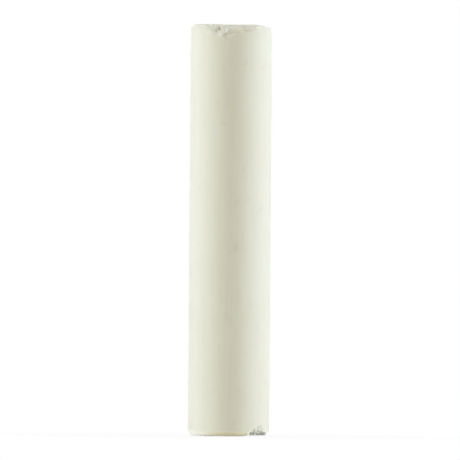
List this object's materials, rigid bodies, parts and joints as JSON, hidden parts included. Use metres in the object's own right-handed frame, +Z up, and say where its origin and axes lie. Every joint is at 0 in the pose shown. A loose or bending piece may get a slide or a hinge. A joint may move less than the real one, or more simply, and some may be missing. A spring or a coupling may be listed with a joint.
{
  "type": "soft pastel stick",
  "caption": "Round stick of ivory soft pastel, flat at both ends, with chipped rims, held in the fingers or a holder to draw.",
  "frame": {"origin": "middle of the foot, the end that the stick stands on", "axes": "+Z runs up the stick's axis, -Y is the front that the picture shows, +X is to the right of it"},
  "size_m": [0.0128, 0.0128, 0.0648],
  "materials": {
    "pastel": "matte, chalky ivory"
  },
  "bodies": {
    "root": {"pastel_stick": "pastel"}
  },
  "joints": []
}
